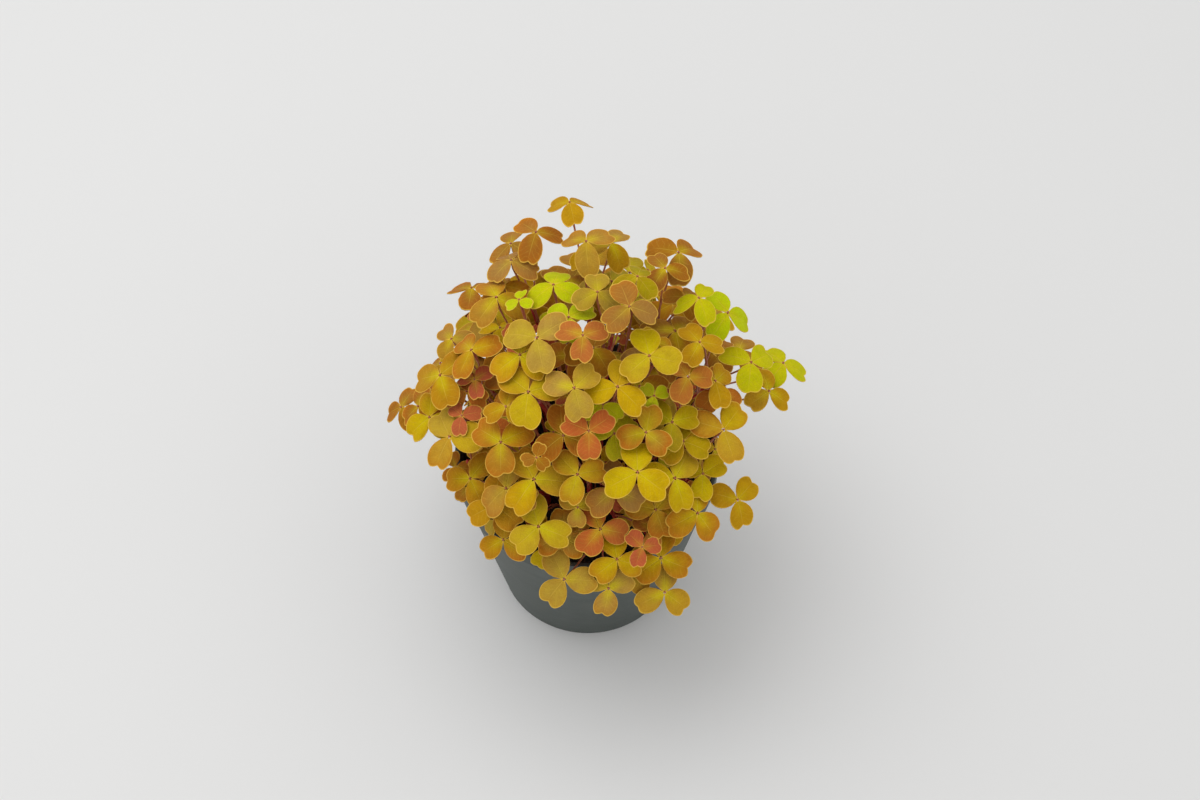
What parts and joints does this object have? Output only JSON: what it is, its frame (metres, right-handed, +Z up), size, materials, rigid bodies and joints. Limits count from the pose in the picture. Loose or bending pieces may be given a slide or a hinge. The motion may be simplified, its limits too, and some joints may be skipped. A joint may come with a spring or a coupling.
{
  "type": "potted golden-leaved wood sorrel",
  "caption": "Bushy wood sorrel in a plain tapered nursery pot: clover-like gold, ochre, bronze, lime and coral leaves on thin stems above dark soil.",
  "frame": {"origin": "centre of the pot's flat underside", "axes": "+Z up along the pot's axis, -Y towards the side that the picture shows, +X to that viewer's right"},
  "size_m": [0.1578, 0.1499, 0.184],
  "materials": {
    "pot": "matte",
    "soil": "matte",
    "leaf_gold": "satin",
    "leaf_ochre": "satin",
    "leaf_bronze": "satin",
    "leaf_olive": "satin",
    "leaf_lime": "satin",
    "leaf_coral": "satin"
  },
  "bodies": {
    "root": {"pot": "pot", "soil": "soil", "shoot_far_crown": "leaf_ochre", "shoot_far_left": "leaf_bronze", "shoot_left_crown": "leaf_ochre", "shoot_far_right": "leaf_bronze", "shoot_crown": "leaf_bronze", "shoot_olive_crown": "leaf_olive", "shoot_lime_crown": "leaf_lime", "shoot_lime_right": "leaf_lime", "shoot_right_shoulder": "leaf_ochre", "shoot_coral_right": "leaf_coral", "shoot_right_edge": "leaf_gold", "shoot_right_low": "leaf_ochre", "shoot_right_front": "leaf_gold", "shoot_right_inner": "leaf_olive", "shoot_middle": "leaf_gold", "shoot_coral_middle": "leaf_coral", "shoot_lime_middle": "leaf_lime", "shoot_bronze_middle": "leaf_bronze", "shoot_front_inner": "leaf_gold", "shoot_left_face": "leaf_gold", "shoot_left_inner": "leaf_ochre", "shoot_left_low": "leaf_ochre", "shoot_left_edge": "leaf_gold", "shoot_left_tip": "leaf_bronze", "shoot_left_shoulder": "leaf_ochre", "shoot_coral_left": "leaf_coral", "shoot_front_left": "leaf_gold", "shoot_coral_front": "leaf_coral", "shoot_front": "leaf_gold", "shoot_front_edge": "leaf_ochre", "shoot_under_crown": "leaf_bronze", "shoot_back_1": "leaf_bronze", "shoot_back_2": "leaf_ochre", "shoot_back_3": "leaf_olive", "shoot_back_4": "leaf_bronze", "shoot_back_5": "leaf_ochre", "shoot_back_6": "leaf_olive", "shoot_back_7": "leaf_bronze"}
  },
  "joints": []
}
